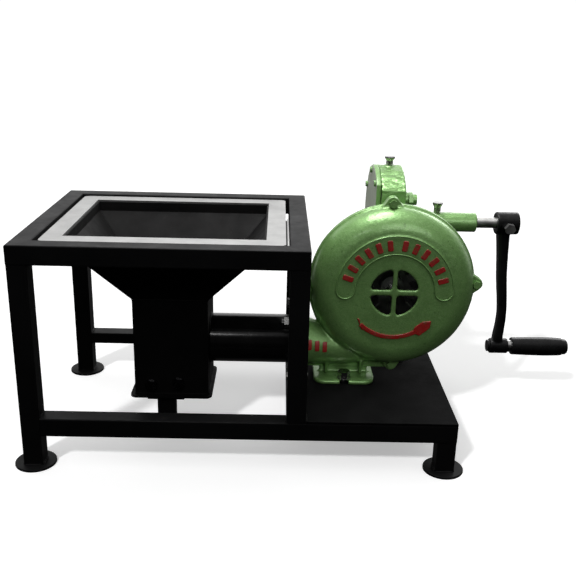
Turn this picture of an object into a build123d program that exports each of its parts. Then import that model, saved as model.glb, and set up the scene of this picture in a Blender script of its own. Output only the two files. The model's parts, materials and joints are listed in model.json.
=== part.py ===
from build123d import *
import os, math

# ---------------------------------------------------------------- dimensions (mm)
T = 25.4            # frame tube, one inch square
WALL = 2.0          # frame tube wall
W = 372.0           # width of the hearth frame
D = 322.0           # depth of the frame
H = 305.0           # top of the hearth frame
XB = 572.0          # right end of the blower base
ZR = 71.0           # top of the lower rails
REAR_H = 18.0       # height of the rear lower rail
PLATE_T = 3.0       # blower base plate
DISC_R, DISC_T = 27.0, 3.0
X_END = 792.3       # outer end of the handle
OX = (X_END - (DISC_R - T / 2)) / 2      # plan centre of the whole machine
OY = D / 2

# fire pot
POT_T = 2.5
RIM_X0, RIM_X1, RIM_Y0, RIM_Y1, RIM_Z = 31.0, 341.0, 31.0, 291.0, 303.0
IN_X0, IN_X1, IN_Y0, IN_Y1 = 56.0, 316.0, 56.0, 266.0
HOP_Z = 287.0
CH_X0, CH_X1, CH_Y0, CH_Y1 = 132.0, 236.0, 102.0, 194.0
CH_TOP, CH_BOT = 202.0, 60.0
CH_WALL = 3.0
FL_X0, FL_X1, FL_Y0, FL_Y1, FL_T = 125.5, 241.0, 94.0, 202.0, 3.0
LEG_X, LEG_W = 176.0, 26.0

# air pipe
PIPE_Y, PIPE_Z = 148.0, 130.3
PIPE_R, PIPE_RI = 35.0, 32.0
PF_X = 358.0        # joint face between the pipe flange and the blower outlet
OUT_SQ = 104.0       # outlet flange side
OUT_HOLE = 40.0     # half pitch of the outlet bolts

# blower
BX, BZ = 493.0, 216.0     # fan axis (runs along Y)
Y_FACE, Y_SPLIT, Y_BACK = 110.0, 147.0, 180.0
R_CASE, R_FLANGE = 115.0, 118.0
INLET_R = 33.5
LUG_ANG = 2.8
FAN_R = 88.0
FAN_SHAFT_R = 6.0

# gear train
CY, CZ = 240.0, 286.7     # crank axis (runs along X)
M1, NA, NB = 1.5, 64, 16  # crank gear and pinion
M2, NC, ND = 2.0, 24, 4   # worm wheel and worm starts
WORM_R = 8.7
RA, RB, RC = M1 * NA / 2, M1 * NB / 2, M2 * NC / 2
KZ = BZ + RC + WORM_R
KY = CY + math.sqrt((RA + RB) ** 2 - (CZ - KZ) ** 2)
BETA = math.degrees(math.atan2(KZ - CZ, KY - CY))
LEAD = math.pi * M2 * ND
GC_X0, GC_X1, GC_R = 476.0, 511.0, 83.0
GC_WALL = 4.5
COVER_X = 469.0
SLEEVE_R, SLEEVE_X = 14.5, 627.8
SHAFT_R = 8.0
LOBE_R = 33.0
GAP = 0.05                # running clearance on radius

# crank
ARM_R = 200.0
HUB_X0, HUB_X1, HUB_R = 658.0, 692.0, 17.0
BOSS_X0, BOSS_X1, BOSS_R = 669.0, 698.0, 12.0
GRIP_X0, GRIP_R = 703.6, 14.4
SPIN_R = 5.0
HZ = CZ - ARM_R

NODES = {}


def put(name, shape):
    NODES[name] = shape


def cyl(axis, r, a, b, c1, c2):
    """Cylinder of radius r along an axis from a to b; c1, c2 are the other two coordinates."""
    h = b - a
    c = Cylinder(r, h, align=(Align.CENTER, Align.CENTER, Align.MIN))
    if axis == "X":
        return Pos(a, c1, c2) * Rot(0, 90, 0) * c
    if axis == "Y":
        return Pos(c1, a, c2) * Rot(-90, 0, 0) * c
    return Pos(c1, c2, a) * c


def box(x0, x1, y0, y1, z0, z1):
    return Pos((x0 + x1) / 2, (y0 + y1) / 2, (z0 + z1) / 2) * Box(x1 - x0, y1 - y0, z1 - z0)


def tube(axis, a, b, u0, u1, v0, v1, wall=WALL, r=1.6):
    """Hollow rectangular tube along an axis; u, v spans are the other two coordinates in order."""
    w, h = u1 - u0, v1 - v0
    s = RectangleRounded(w, h, r) - RectangleRounded(w - 2 * wall, h - 2 * wall, 0.6)
    t = extrude(s, b - a)
    uc, vc = (u0 + u1) / 2, (v0 + v1) / 2
    if axis == "Z":
        return Pos(uc, vc, a) * t
    if axis == "X":
        return Plane(origin=(a, uc, vc), x_dir=(0, 1, 0), z_dir=(1, 0, 0)).location * t
    return Plane(origin=(uc, a, vc), x_dir=(-1, 0, 0), z_dir=(0, 1, 0)).location * t


def cut_plane(p, origin, normal):
    return split(p, bisect_by=Plane(origin=origin, z_dir=normal), keep=Keep.TOP)


def plane_x(x, y, z):
    return Plane(origin=(x, y, z), x_dir=(0, 1, 0), z_dir=(1, 0, 0))


def plane_y(y, x=BX, z=BZ):
    """Sketch plane facing -Y, seen from the front: local x is +X, local y is +Z."""
    return Plane(origin=(x, y, z), x_dir=(1, 0, 0), z_dir=(0, -1, 0))


def hexprism(axis, af, a, b, c1, c2, rot=0):
    s = RegularPolygon(af / 2, 6, major_radius=False, rotation=rot)
    p = extrude(s, b - a)
    if axis == "X":
        return plane_x(a, c1, c2).location * p
    if axis == "Y":
        return Plane(origin=(c1, a, c2), x_dir=(-1, 0, 0), z_dir=(0, 1, 0)).location * p
    return Pos(c1, c2, a) * p


# ---------------------------------------------------------------- frame
zt0 = H - T
r = tube("X", 0, W, 0, T, zt0, H)
r = cut_plane(r, (0, 0, 0), (1, -1, 0))
put("top_rail_front", cut_plane(r, (W, 0, 0), (-1, -1, 0)))
r = tube("X", 0, W, D - T, D, zt0, H)
r = cut_plane(r, (0, D, 0), (1, 1, 0))
put("top_rail_back", cut_plane(r, (W, D, 0), (-1, 1, 0)))
r = tube("Y", 0, D, 0, T, zt0, H)
r = cut_plane(r, (0, 0, 0), (-1, 1, 0))
put("top_rail_left", cut_plane(r, (0, D, 0), (-1, -1, 0)))
r = tube("Y", 0, D, W - T, W, zt0, H)
r = cut_plane(r, (W, 0, 0), (1, 1, 0))
put("top_rail_right", cut_plane(r, (W, D, 0), (1, -1, 0)))

put("post_front_left", tube("Z", DISC_T, zt0, 0, T, 0, T))
put("post_back_left", tube("Z", DISC_T, zt0, 0, T, D - T, D))
put("post_front_right", tube("Z", ZR, zt0, W - T, W, 0, T))
put("post_back_right", tube("Z", ZR, zt0, W - T, W, D - T, D))

r = tube("X", T, XB, 0, T, ZR - T, ZR)
put("lower_rail_front", cut_plane(r, (XB, 0, 0), (-1, -1, 0)))
r = tube("Y", 0, D, XB - T, XB, ZR - T, ZR)
r = cut_plane(r, (XB, 0, 0), (1, 1, 0))
r += box(XB - T + WALL / 2, XB - WALL / 2, D - WALL, D, ZR - T + WALL / 2, ZR - WALL / 2)
put("base_rail_right", r)
put("lower_rail_back", tube("X", T, XB - T, D - T, D, ZR - REAR_H, ZR))
put("base_rail_middle", tube("Y", T, D - T, W - T, W, ZR - REAR_H, ZR))
put("leg_front_right", tube("Z", DISC_T, ZR - T, XB - T, XB, 0, T))
put("leg_back_right", tube("Z", DISC_T, ZR - T, XB - T, XB, D - T, D))
discs = []
for x, y in ((T / 2, T / 2), (T / 2, D - T / 2), (XB - T / 2, T / 2), (XB - T / 2, D - T / 2)):
    d = Pos(x, y, 0) * Cylinder(DISC_R, DISC_T, align=(Align.CENTER, Align.CENTER, Align.MIN))
    discs.append(fillet(d.edges().group_by(Axis.Z)[-1], 0.8))
put("foot_discs", Compound(children=discs))

ZP = ZR + PLATE_T

# ---------------------------------------------------------------- fire pot
rim = extrude(Pos((RIM_X0 + RIM_X1) / 2, (RIM_Y0 + RIM_Y1) / 2) * RectangleRounded(RIM_X1 - RIM_X0, RIM_Y1 - RIM_Y0, 7), POT_T)
rim = Pos(0, 0, RIM_Z - POT_T) * rim
lip = extrude(Pos((RIM_X0 + RIM_X1) / 2, (RIM_Y0 + RIM_Y1) / 2) *
              (RectangleRounded(RIM_X1 - RIM_X0, RIM_Y1 - RIM_Y0, 7) - RectangleRounded(RIM_X1 - RIM_X0 - 4, RIM_Y1 - RIM_Y0 - 4, 5)), 6)
rim += Pos(0, 0, RIM_Z - POT_T - 6) * lip
rim -= box(IN_X0, IN_X1, IN_Y0, IN_Y1, RIM_Z - 20, RIM_Z + 5)
put("pot_rim", rim)


def frustum(off):
    """Hopper volume, offset inward by off."""
    top = Pos((IN_X0 + IN_X1) / 2, (IN_Y0 + IN_Y1) / 2, HOP_Z) * Rectangle(IN_X1 - IN_X0 - 2 * off, IN_Y1 - IN_Y0 - 2 * off)
    bot = Pos((CH_X0 + CH_X1) / 2, (CH_Y0 + CH_Y1) / 2, CH_TOP) * Rectangle(CH_X1 - CH_X0 - 2 * off, CH_Y1 - CH_Y0 - 2 * off)
    up = box(IN_X0 + off, IN_X1 - off, IN_Y0 + off, IN_Y1 - off, HOP_Z, RIM_Z - POT_T)
    return loft([bot, top], ruled=True) + up


put("pot_hopper", frustum(0) - frustum(POT_T))
chute = box(CH_X0, CH_X1, CH_Y0, CH_Y1, CH_BOT, CH_TOP) - box(CH_X0 + CH_WALL, CH_X1 - CH_WALL, CH_Y0 + CH_WALL, CH_Y1 - CH_WALL, CH_BOT - 1, CH_TOP + 1)
chute -= cyl("X", PIPE_RI, CH_X1 - CH_WALL - 2, CH_X1 + 2, PIPE_Y, PIPE_Z)
POT_BOLTS = ((155.0, 74.0), (193.4, 77.5))
for x, z in POT_BOLTS:
    chute -= cyl("Y", 4.2, CH_Y0 - 1, CH_Y0 + CH_WALL + 1, x, z)
put("pot_chute", chute)
fl = Pos((FL_X0 + FL_X1) / 2, (FL_Y0 + FL_Y1) / 2, CH_BOT - FL_T) * extrude(RectangleRounded(FL_X1 - FL_X0, FL_Y1 - FL_Y0, 9), FL_T)
put("chute_bottom_plate", fl)
SAD_Z0 = CH_BOT - FL_T - 3.0
sad = box(LEG_X - 26, LEG_X + 26, 96.5, 121.0, SAD_Z0, CH_BOT - FL_T)
put("saddle_plate", sad)
leg = tube("Z", 0, SAD_Z0, LEG_X - LEG_W / 2, LEG_X + LEG_W / 2, 101.0, 101.0 + 16.0)
put("pot_support_leg", leg)
bolts, nuts = [], []
for x, z in POT_BOLTS:
    bolts.append(cyl("Y", 4.0, CH_Y0, CH_Y0 + CH_WALL + 8.5, x, z) + cyl("Y", 9.0, CH_Y0 - 1.6, CH_Y0, x, z) +
                 hexprism("Y", 14.5, CH_Y0 - 7.0, CH_Y0 - 1.6, x, z, 6))
    nuts.append(hexprism("Y", 13, CH_Y0 + CH_WALL, CH_Y0 + CH_WALL + 6.5, x, z) - cyl("Y", 4.0, CH_Y0, CH_Y0 + 20, x, z))
put("pot_bolts", Compound(children=bolts))
put("pot_nuts", Compound(children=nuts))
put("side_strip", box(RIM_X1, W - T, 32, 180, 296.5, 300.5))

g = box(CH_X0 - 6, CH_X1 + 6, CH_Y0 - 6, CH_Y1 + 6, CH_TOP + 6, CH_TOP + 14)
gx0, gx1 = CH_X0 - 6, CH_X1 + 6
n_slot = 6
step = (gx1 - gx0 - 14) / n_slot
for i in range(n_slot):
    x = gx0 + 7 + step * (i + 0.5)
    g -= Pos(x, (CH_Y0 + CH_Y1) / 2, CH_TOP) * extrude(SlotOverall(CH_Y1 - CH_Y0 - 4, 9.5, rotation=90), 20)
inner = frustum(POT_T + 0.3)
put("fire_grate", g & inner)

# ---------------------------------------------------------------- air pipe
pipe = cyl("X", PIPE_R, CH_X1, PF_X - 6, PIPE_Y, PIPE_Z) - cyl("X", PIPE_RI, CH_X1 - 1, PF_X + 1, PIPE_Y, PIPE_Z)
put("air_pipe", pipe)


def flange_sq(x0, x1, bore):
    f = plane_x(x0, PIPE_Y, PIPE_Z).location * extrude(RectangleRounded(OUT_SQ, OUT_SQ, 9), x1 - x0)
    f -= cyl("X", bore, x0 - 1, x1 + 1, PIPE_Y, PIPE_Z)
    for sy in (-1, 1):
        for sz in (-1, 1):
            f -= cyl("X", 4.3, x0 - 1, x1 + 1, PIPE_Y + sy * OUT_HOLE, PIPE_Z + sz * OUT_HOLE)
    return f


put("pipe_flange", flange_sq(PF_X - 6, PF_X, PIPE_RI))
OX0, OX1 = PF_X, PF_X + 8.0
bolts, nuts = [], []
for sy in (-1, 1):
    for sz in (-1, 1):
        y, z = PIPE_Y + sy * OUT_HOLE, PIPE_Z + sz * OUT_HOLE
        if sy < 0 < sz:
            # this bolt is fitted the other way round, with its nut and washers on the pipe side
            bolts.append(cyl("X", 4.0, PF_X - 19.5, OX1, y, z) + hexprism("X", 13, OX1, OX1 + 5.3, y, z))
            nut = hexprism("X", 13, PF_X - 16.2, PF_X - 9.7, y, z) + cyl("X", 7.0, PF_X - 9.7, PF_X - 7.6, y, z) + cyl("X", 8.6, PF_X - 7.6, PF_X - 6, y, z)
            nuts.append(nut - cyl("X", 4.0, PF_X - 20, PF_X, y, z))
        else:
            bolts.append(cyl("X", 4.0, PF_X - 6, OX1 + 11, y, z) + hexprism("X", 13, PF_X - 11.3, PF_X - 6, y, z))
            nut = cyl("X", 8.0, OX1, OX1 + 1.6, y, z) + hexprism("X", 13, OX1 + 1.6, OX1 + 8.1, y, z)
            nuts.append(nut - cyl("X", 4.0, OX1 - 1, OX1 + 12, y, z))
put("outlet_bolts", Compound(children=bolts))
put("outlet_nuts", Compound(children=nuts))

# ---------------------------------------------------------------- blower casing
pl = plane_y(0)


def rev(pts_fn):
    """Revolve a profile given in (radius, y) about the fan axis."""
    with BuildPart() as p:
        with BuildSketch(Plane(origin=(BX, 0, BZ), x_dir=(1, 0, 0), z_dir=(0, 0, 1))) as s:
            with BuildLine():
                pts_fn()
            make_face()
        revolve(axis=Axis((BX, 0, BZ), (0, 1, 0)))
    return p.part


def cover_profile():
    Polyline((0, Y_FACE + 5), (0, Y_FACE), (82, Y_FACE))
    a1 = EllipticalCenterArc((82, Y_FACE + 31), R_CASE - 82, 31, start_angle=270, arc_size=90)
    Polyline((R_CASE, Y_FACE + 31), (R_CASE, Y_SPLIT - 5), (R_FLANGE, Y_SPLIT - 5), (R_FLANGE, Y_SPLIT), (R_CASE - 6, Y_SPLIT), (R_CASE - 6, Y_FACE + 31))
    a2 = EllipticalCenterArc((82, Y_FACE + 31), R_CASE - 6 - 82, 26, start_angle=270, arc_size=90)
    Line((82, Y_FACE + 5), (0, Y_FACE + 5))


cover = rev(cover_profile)


def lug(y0, y1):
    s = None
    for k in range(4):
        a = LUG_ANG + 90 * k
        tri = make_face(Polyline((98, -27), (104, -22), (123.3, -8.5), (123.3, 8.5), (104, 22), (98, 27), close=True)) + Pos(119.5, 0) * Circle(9.3)
        tri = Rot(0, 0, a) * tri
        s = tri if s is None else s + tri
    s -= Circle(R_CASE - 1.0)
    return plane_y(y1).location * extrude(s, y1 - y0)


def lug_holes(y0, y1, rr):
    out = None
    for k in range(4):
        a = math.radians(LUG_ANG + 90 * k)
        c = cyl("Y", rr, y0, y1, BX + 119.5 * math.cos(a), BZ + 119.5 * math.sin(a))
        out = c if out is None else out + c
    return out


LUG_Y0 = 138.0
cover += lug(LUG_Y0, Y_SPLIT)
cover -= lug_holes(LUG_Y0 - 1, Y_SPLIT + 1, 3.2)
for k in range(4):
    a = math.radians(LUG_ANG + 90 * k)
    cover -= cyl("Y", 7.4, Y_FACE - 5, LUG_Y0, BX + 119.5 * math.cos(a), BZ + 119.5 * math.sin(a))
# inlet: four windows round a cross
win = Circle(INLET_R) - Rectangle(6.9, 90) - Rectangle(90, 8.2)
win = fillet(win.vertices(), 3.6)
cover -= plane_y(Y_FACE + 8).location * extrude(win, 20)
# raised band over the inlet
band = SlotArc(CenterArc((0, 0), 68.5, 3, 174), 26.0)
cover += plane_y(Y_FACE + 1).location * extrude(band, 2.2)



def taper(xa, za, ra, xb, zb, rb):
    return loft([plane_x(xa, PIPE_Y, za).location * Circle(ra), plane_x(xb, PIPE_Y, zb).location * Circle(rb)])


# outlet neck, split between the two halves of the casing, with a seam lip under it
NK_X, NK_Z = 426.0, 119.5
neck = taper(OX1, PIPE_Z, 36.0, NK_X, NK_Z, 25.0) + taper(NK_X, NK_Z, 25.0, BX, 118.5, 16.8)
duct = cyl("X", PIPE_RI, PF_X, OX1, PIPE_Y, PIPE_Z) + taper(OX1, PIPE_Z, PIPE_RI, NK_X, NK_Z, 21.2) + taper(NK_X, NK_Z, 21.2, 452.0, 119.0, 17.5)
LIP_Z0 = 89.5
half_f = box(OX1, BX + 20, Y_FACE - 20, Y_SPLIT, 60, 200)
half_r = box(OX1, BX + 20, Y_SPLIT, Y_BACK + 20, 60, 200)


def cavity_front():
    Polyline((0, Y_SPLIT + 1), (0, Y_FACE + 5), (82, Y_FACE + 5))
    EllipticalCenterArc((82, Y_FACE + 31), R_CASE - 6 - 82, 26, start_angle=270, arc_size=90)
    Polyline((R_CASE - 6, Y_FACE + 31), (R_CASE - 6, Y_SPLIT + 1), (0, Y_SPLIT + 1))


RIB_X = ((402.5, 407.5), (452.0, 457.0))
FZ1 = ZP + 6.0
fneck = (neck & half_f) + box(OX1, BX + 4, Y_SPLIT - 5, Y_SPLIT, LIP_Z0, 100)
for x0, x1 in RIB_X:
    rib = Plane(origin=(x0, 0, 0), x_dir=(0, 1, 0), z_dir=(1, 0, 0)).location * extrude(
        make_face(Polyline((138.5, FZ1), (129.0, 103.0), (134.0, 112.0), (Y_SPLIT, 112.0), (Y_SPLIT, FZ1), close=True)), x1 - x0)
    fneck += rib
cover += fneck - rev(cavity_front)
cover -= duct
cover -= lug_holes(LUG_Y0 - 1, Y_SPLIT + 1, 3.2)
put("front_cover", cover)

# raised red marks: plain bars on the band and a direction arrow under the inlet
marks = []
for i in range(12):
    a = math.radians(16.5 + i * 13.0 if i < 6 else 98.5 + (i - 6) * 12.8)
    b = Pos(68.5 * math.cos(a), 68.5 * math.sin(a)) * Rot(0, 0, math.degrees(a)) * RectangleRounded(15.0, 7.4, 1.8)
    marks.append(plane_y(Y_FACE - 1.2).location * extrude(b, 1.4))


def arc_pts(rad, a0, a1, n):
    return [(rad * math.cos(math.radians(a0 + (a1 - a0) * i / n)), rad * math.sin(math.radians(a0 + (a1 - a0) * i / n))) for i in range(n + 1)]


def polar(rad, a):
    return (rad * math.cos(math.radians(a)), rad * math.sin(math.radians(a)))


pts = arc_pts(67.6, 226, 299, 14) + [polar(72.8, 302), polar(72.4, 316), polar(67.0, 323.5), polar(58.6, 316), polar(58.6, 302)] + arc_pts(61.8, 299, 226, 14)
arrow = make_face(Polyline(*pts, close=True))
marks.append(plane_y(Y_FACE).location * extrude(arrow, 2.2))
tail = make_face(Polyline(polar(60.5, 219.4), polar(62.5, 217.2), polar(69.2, 232.0), polar(66.6, 233.0), polar(66.6, 227.0), polar(62.4, 223.0), close=True))
marks[-1] += plane_y(Y_FACE).location * extrude(tail, 2.2)
grown = taper(OX1, PIPE_Z, 37.2, NK_X, NK_Z, 26.2) - neck
for i in range(3):
    x = 378.5 + 11.0 * i
    bar = Plane(origin=(x, Y_FACE - 5, 134.0 - 2.2 * i), x_dir=(1, 0, 0), z_dir=(0, 1, 0)).location * extrude(RectangleRounded(6.4, 15.0, 1.6), 22)
    marks.append(bar & grown)
put("raised_marks", Compound(children=marks))


def rear_profile():
    Polyline((0, Y_BACK), (0, Y_BACK - 5), (99, Y_BACK - 5))
    RadiusArc((99, Y_BACK - 5), (107, Y_BACK - 13), 8, short_sagitta=True)
    Polyline((107, Y_BACK - 13), (107, Y_SPLIT), (R_FLANGE, Y_SPLIT), (R_FLANGE, Y_SPLIT + 5), (112, Y_SPLIT + 5), (112, Y_BACK - 14))
    RadiusArc((112, Y_BACK - 14), (98, Y_BACK), -14, short_sagitta=True)
    Line((98, Y_BACK), (0, Y_BACK))


rear = rev(rear_profile)
rear += lug(Y_SPLIT, Y_SPLIT + 7) - cyl("Y", 111.0, 100, 200, BX, BZ)
rear -= lug_holes(Y_SPLIT - 1, Y_SPLIT + 10, 3.2)
# foot of the casing with two ribs and an open slot
FX0, FX1, FY0, FY1 = 386.0, 474.0, 112.0, 188.0
foot = Pos((FX0 + FX1) / 2, (FY0 + FY1) / 2, ZP) * extrude(RectangleRounded(FX1 - FX0, FY1 - FY0, 17), 6.0)
foot -= box(430 - 5.6, 430 + 5.6, FY0 - 5, 124.0, ZP - 1, FZ1 + 1) + cyl("Z", 5.6, ZP - 1, FZ1 + 1, 430, 124)
foot -= cyl("Z", 5.6, ZP - 1, FZ1 + 1, 430, 176)
ribs = box(395, 466, Y_SPLIT, Y_SPLIT + 5, FZ1 - 1, 96)
for x0, x1 in RIB_X:
    ribs += box(x0, x1, Y_SPLIT, 184, FZ1 - 1, 122)
body = (neck & half_r) + ribs + box(OX1, BX + 4, Y_SPLIT, Y_SPLIT + 5, LIP_Z0, 100)
cav = cyl("Y", 107.0, Y_SPLIT - 1, Y_BACK - 13, BX, BZ) + cyl("Y", 99.0, Y_SPLIT - 1, Y_BACK - 5, BX, BZ)
body -= cav
rear = rear + body + foot + flange_sq(OX0, OX1, 5)
rear -= duct
rear -= lug_holes(Y_SPLIT - 1, Y_SPLIT + 7, 3.2)
# boss for the front fan bush and the holes for the gear case bolts
rear += cyl("Y", 15.0, 171.0, Y_BACK - 4, BX, BZ)
rear -= cyl("Y", 9.0, 165.0, Y_BACK + 5, BX, BZ)
GBOLT = [(BX + sx * 37.0, BZ + sz * 16.0) for sx in (-1, 1) for sz in (-1, 1)]
for x, z in GBOLT:
    rear -= cyl("Y", 3.2, 165, Y_BACK + 5, x, z)
put("rear_casing", rear)

cb = []
for k in range(4):
    a = math.radians(LUG_ANG + 90 * k)
    x, z = BX + 119.5 * math.cos(a), BZ + 119.5 * math.sin(a)
    cb.append(cyl("Y", 3.0, LUG_Y0, Y_SPLIT + 7.5, x, z) + hexprism("Y", 10, LUG_Y0 - 4.5, LUG_Y0, x, z, 15) +
              hexprism("Y", 10, Y_SPLIT + 7.0, Y_SPLIT + 12.0, x, z))
put("cover_bolts", Compound(children=cb))

# ---------------------------------------------------------------- gear case
disc = cyl("X", GC_R, GC_X0, GC_X1, CY, CZ) + cyl("X", LOBE_R, GC_X0, GC_X1, KY, KZ)
disc = cut_plane(disc, (0, Y_BACK, 0), (0, 1, 0))
hollow = cyl("X", GC_R - GC_WALL, GC_X0 - 1, GC_X1 - 5, CY, CZ) + cyl("X", LOBE_R - GC_WALL, GC_X0 - 1, GC_X1 - 5, KY, KZ)
hollow = cut_plane(hollow, (0, Y_BACK + 8.6, 0), (0, 1, 0))
Y_FEND = KY + 34.0
fan_tube = cyl("Y", 17.0, Y_BACK, Y_FEND, BX, BZ)
pad = plane_y(Y_BACK + 7).location * extrude(RectangleRounded(94, 52, 10), 7)
web = box(BX + 2, BX + 18, 214, 246, FZ1 - 1, BZ - 5)
FR = (BX + 10, 232.0)
rfoot = Pos(FR[0], FR[1] - 2, ZP) * extrude(RectangleRounded(52, 62, 8), 6.0)
gc = disc + fan_tube + pad + web + rfoot
gc += cyl("X", SLEEVE_R, GC_X1 - 1, SLEEVE_X, CY, CZ)
gc += cyl("X", 13.0, GC_X1 - 1, GC_X1 + 8, KY, KZ)
FP_Z = 319.5
gc += cyl("X", 11.0, GC_X1 - 1, GC_X1 + 13, CY, FP_Z)
OP1_X = 492.5
gc += cyl("Z", 9.0, CZ + GC_R - 3, CZ + GC_R + 1.5, OP1_X, CY)
gc -= hollow
gc -= cyl("Y", 12.5, Y_BACK + 14, Y_FEND - 8, BX, BZ)
gc -= cyl("Y", 9.0, Y_BACK - 1, Y_FEND + 1, BX, BZ)
gc -= cyl("X", 11.0, GC_X1 - 6, SLEEVE_X + 1, CY, CZ)
gc -= cyl("X", 9.0, GC_X1 - 6, GC_X1 + 6, KY, KZ)
gc -= cyl("X", 5.0, GC_X1 - 6, GC_X1 + 14, CY, FP_Z)
gc -= cyl("Z", 4.0, CZ + GC_R - 10, CZ + GC_R + 3, OP1_X, CY)
OP2_X = 568.5
gc -= cyl("Z", 4.0, CZ + 5, CZ + SLEEVE_R + 3, OP2_X, CY)
for x, z in GBOLT:
    gc -= cyl("Y", 3.2, Y_BACK - 1, Y_BACK + 10, x, z)
for sx, sy in ((1, 1),):
    gc -= cyl("Z", 5.6, ZP - 1, FZ1 + 1, FR[0] + 19.0, FR[1] - 22.0)
gc -= cyl("Z", 5.6, ZP - 1, FZ1 + 1, FR[0] + 19.0, FR[1] + 18.0)
put("gear_case", gc)

FOOT_BOLTS = ((430.0, 124.0), (430.0, 176.0), (FR[0] + 19.0, FR[1] - 22.0), (FR[0] + 19.0, FR[1] + 18.0))
bp = box(W + 0.2, XB, 0, D, ZR, ZP)
for x, y in FOOT_BOLTS:
    bp -= cyl("Z", 5.2, ZR - 1, ZP + 1, x, y)
put("base_plate", bp)
fb, fw, fn = [], [], []
for x, y in FOOT_BOLTS:
    fb.append(cyl("Z", 5.0, ZR - 12, FZ1 + 4.5, x, y) + hexprism("Z", 16, FZ1 + 4.5, FZ1 + 11.0, x, y))
    w1 = cyl("Z", 9.8, FZ1, FZ1 + 1.6, x, y) + cyl("Z", 8.6, FZ1 + 1.9, FZ1 + 4.5, x, y) + cyl("Z", 7.4, FZ1, FZ1 + 4.5, x, y)
    w1 -= cyl("Z", 5.0, FZ1 - 1, FZ1 + 6, x, y)
    fw.append(w1)
    fn.append(hexprism("Z", 16, ZR - 8, ZR, x, y) - cyl("Z", 5.0, ZR - 9, ZR + 1, x, y))
put("foot_bolts", Compound(children=fb))
put("foot_washers", Compound(children=fw))
put("foot_nuts", Compound(children=fn))

# cover of the gear case
cv = cyl("X", GC_R, COVER_X, GC_X0, CY, CZ) + cyl("X", LOBE_R, COVER_X, GC_X0, KY, KZ)
cv = cut_plane(cv, (0, Y_BACK + 7.4, 0), (0, 1, 0))
cv += cyl("X", 13.0, COVER_X - 7, COVER_X + 1, KY, KZ)
cv -= cyl("X", 9.0, COVER_X - 5, GC_X0 + 1, KY, KZ)
screws = []
spos = [(CY + (GC_R - 7.5) * math.cos(math.radians(a)), CZ + (GC_R - 7.5) * math.sin(math.radians(a))) for a in (-14, 35, 78, 122)]
spos += [(CY - 44.5, CZ - 51.5)]
bosses = None
for y, z in spos:
    cv -= cyl("X", 2.5, COVER_X - 1, GC_X0 + 1, y, z)
    b = cyl("X", 6.0, GC_X0, GC_X1 - 5, y, z) - cyl("X", 2.5, GC_X0 - 1, GC_X0 + 14, y, z)
    bosses = b if bosses is None else bosses + b
    s = cyl("X", 2.5, COVER_X, GC_X0 + 12, y, z) + cyl("X", 4.4, COVER_X - 3.2, COVER_X, y, z)
    s -= box(COVER_X - 4, COVER_X - 1.8, y - 5, y + 5, z - 0.6, z + 0.6)
    screws.append(s)
put("gear_case_cover", cv)
put("gear_cover_screws", Compound(children=screws))
full = cut_plane(cyl("X", GC_R - 0.5, GC_X0 - 1, GC_X1, CY, CZ) + cyl("X", LOBE_R - 0.5, GC_X0 - 1, GC_X1, KY, KZ), (0, Y_BACK + 0.5, 0), (0, 1, 0))
NODES["gear_case"] = gc + (bosses & full)

gb = [cyl("Y", 3.0, Y_BACK - 9.5, Y_BACK + 7, x, z) + hexprism("Y", 10, Y_BACK + 7, Y_BACK + 12, x, z) +
      hexprism("Y", 10, Y_BACK - 10, Y_BACK - 5, x, z) for x, z in GBOLT]
put("gear_case_bolts", Compound(children=gb))


def oiler(x, y, z0, z1):
    p = cyl("Z", 4.0, z0 - 5.5, z0 + 1.0, x, y)
    p += hexprism("Z", 9.0, z0, z0 + (z1 - z0) * 0.5, x, y)
    top = Pos(x, y, z0 + (z1 - z0) * 0.42) * Cone(4.2, 7.6, (z1 - z0) * 0.43, align=(Align.CENTER, Align.CENTER, Align.MIN))
    p += top + cyl("Z", 7.6, z0 + (z1 - z0) * 0.85, z1, x, y)
    return p


put("oil_plugs", Compound(children=[oiler(OP1_X, CY, CZ + GC_R + 1.5, CZ + GC_R + 13.5), oiler(OP2_X, CY, CZ + SLEEVE_R, CZ + SLEEVE_R + 15.0)]))
put("filler_plug", cyl("X", 5.0, GC_X1 - 3, GC_X1 + 13, CY, FP_Z) + hexprism("X", 19, GC_X1 + 13, GC_X1 + 19, CY, FP_Z, 10) + cyl("X", 8.0, GC_X1 + 18, GC_X1 + 25, CY, FP_Z))

# ---------------------------------------------------------------- bushes


def bush(axis, ro, ri, a, b, c1, c2):
    return cyl(axis, ro, a, b, c1, c2) - cyl(axis, ri, a - 1, b + 1, c1, c2)


put("crank_bushes", Compound(children=[bush("X", 11.0, SHAFT_R + GAP, GC_X1 - 5, GC_X1 + 22, CY, CZ), bush("X", 11.0, SHAFT_R + GAP, SLEEVE_X - 28, SLEEVE_X - 0.8, CY, CZ)]))
put("fan_bushes", Compound(children=[bush("Y", 9.0, FAN_SHAFT_R + GAP, 172.0, Y_BACK + 14, BX, BZ), bush("Y", 9.0, FAN_SHAFT_R + GAP, Y_FEND - 17, Y_FEND - 3, BX, BZ)]))
put("countershaft_bushes", Compound(children=[bush("X", 9.0, 5.0 + GAP, COVER_X - 5, GC_X0, KY, KZ), bush("X", 9.0, 5.0 + GAP, GC_X1 - 6, GC_X1 + 6, KY, KZ)]))
put("fan_end_plug", cyl("Y", 9.0, Y_FEND - 2.5, Y_FEND, BX, BZ) + cyl("Y", 13.0, Y_FEND, Y_FEND + 2, BX, BZ))

# ---------------------------------------------------------------- gears


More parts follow.
